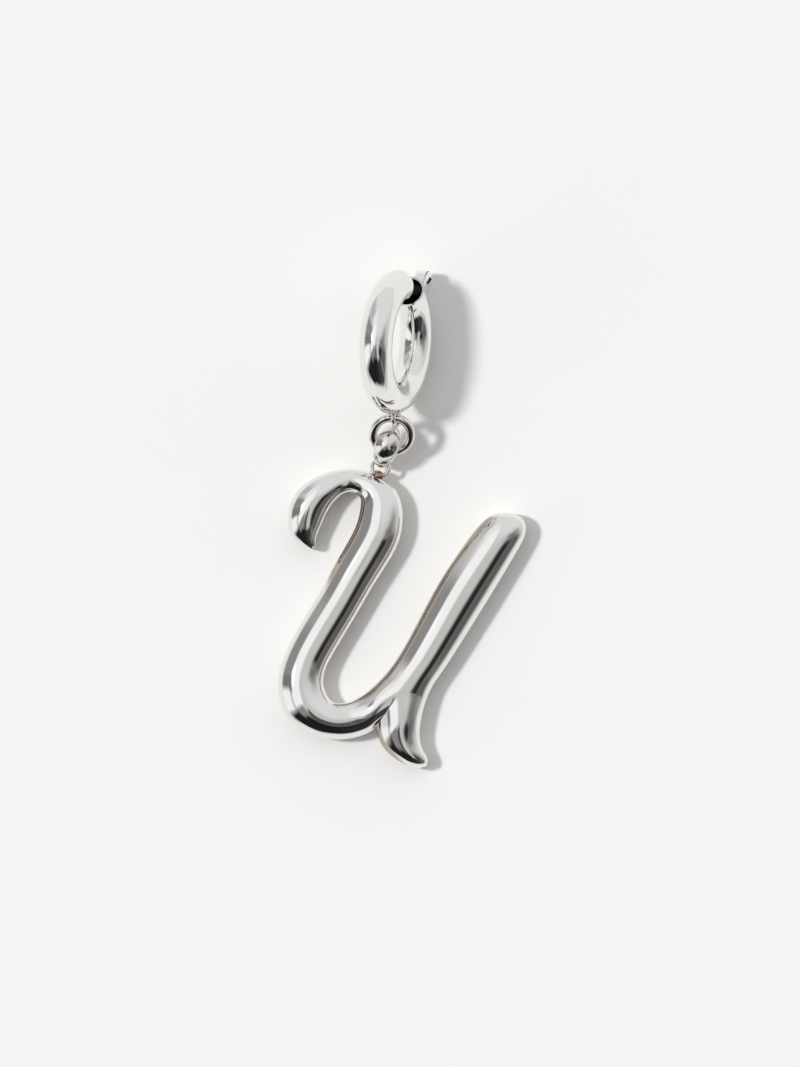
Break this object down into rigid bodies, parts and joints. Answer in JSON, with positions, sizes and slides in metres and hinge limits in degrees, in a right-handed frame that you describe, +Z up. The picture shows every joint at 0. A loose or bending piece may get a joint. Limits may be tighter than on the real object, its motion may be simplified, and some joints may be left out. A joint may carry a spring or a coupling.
{
  "type": "initial pendant",
  "caption": "Domed italic capital letter pendant lying on its flat back, with a puffed bail, a jump ring and a round hinged-gate clasp that leans on its rim.",
  "frame": {"origin": "middle of the whole pendant's bounding box, on the surface that it lies on", "axes": "+X across the letter to its right, +Y up the letter towards the clasp, +Z up from the surface"},
  "size_m": [0.025, 0.0499, 0.0138],
  "materials": {
    "letter_metal": "mirror-polished silver-tone cast metal",
    "link_metal": "polished silver-tone metal, slightly warm",
    "clasp_metal": "mirror-polished silver-tone tube",
    "pin_metal": "plain drawn wire"
  },
  "bodies": {
    "pendant": {"letter": "letter_metal", "bail": "link_metal", "jump_ring": "link_metal", "clasp_ring": "clasp_metal", "hinge_pin": "pin_metal"},
    "gate": {"clasp_gate": "clasp_metal"}
  },
  "joints": [
    {"name": "gate_hinge", "type": "hinge", "parent": "pendant", "child": "gate", "pos_m": [-0.00199, 0.01222, 0.00944], "axis": [0.9308, -0.0716, 0.3584], "range_deg": [0, 40]}
  ]
}
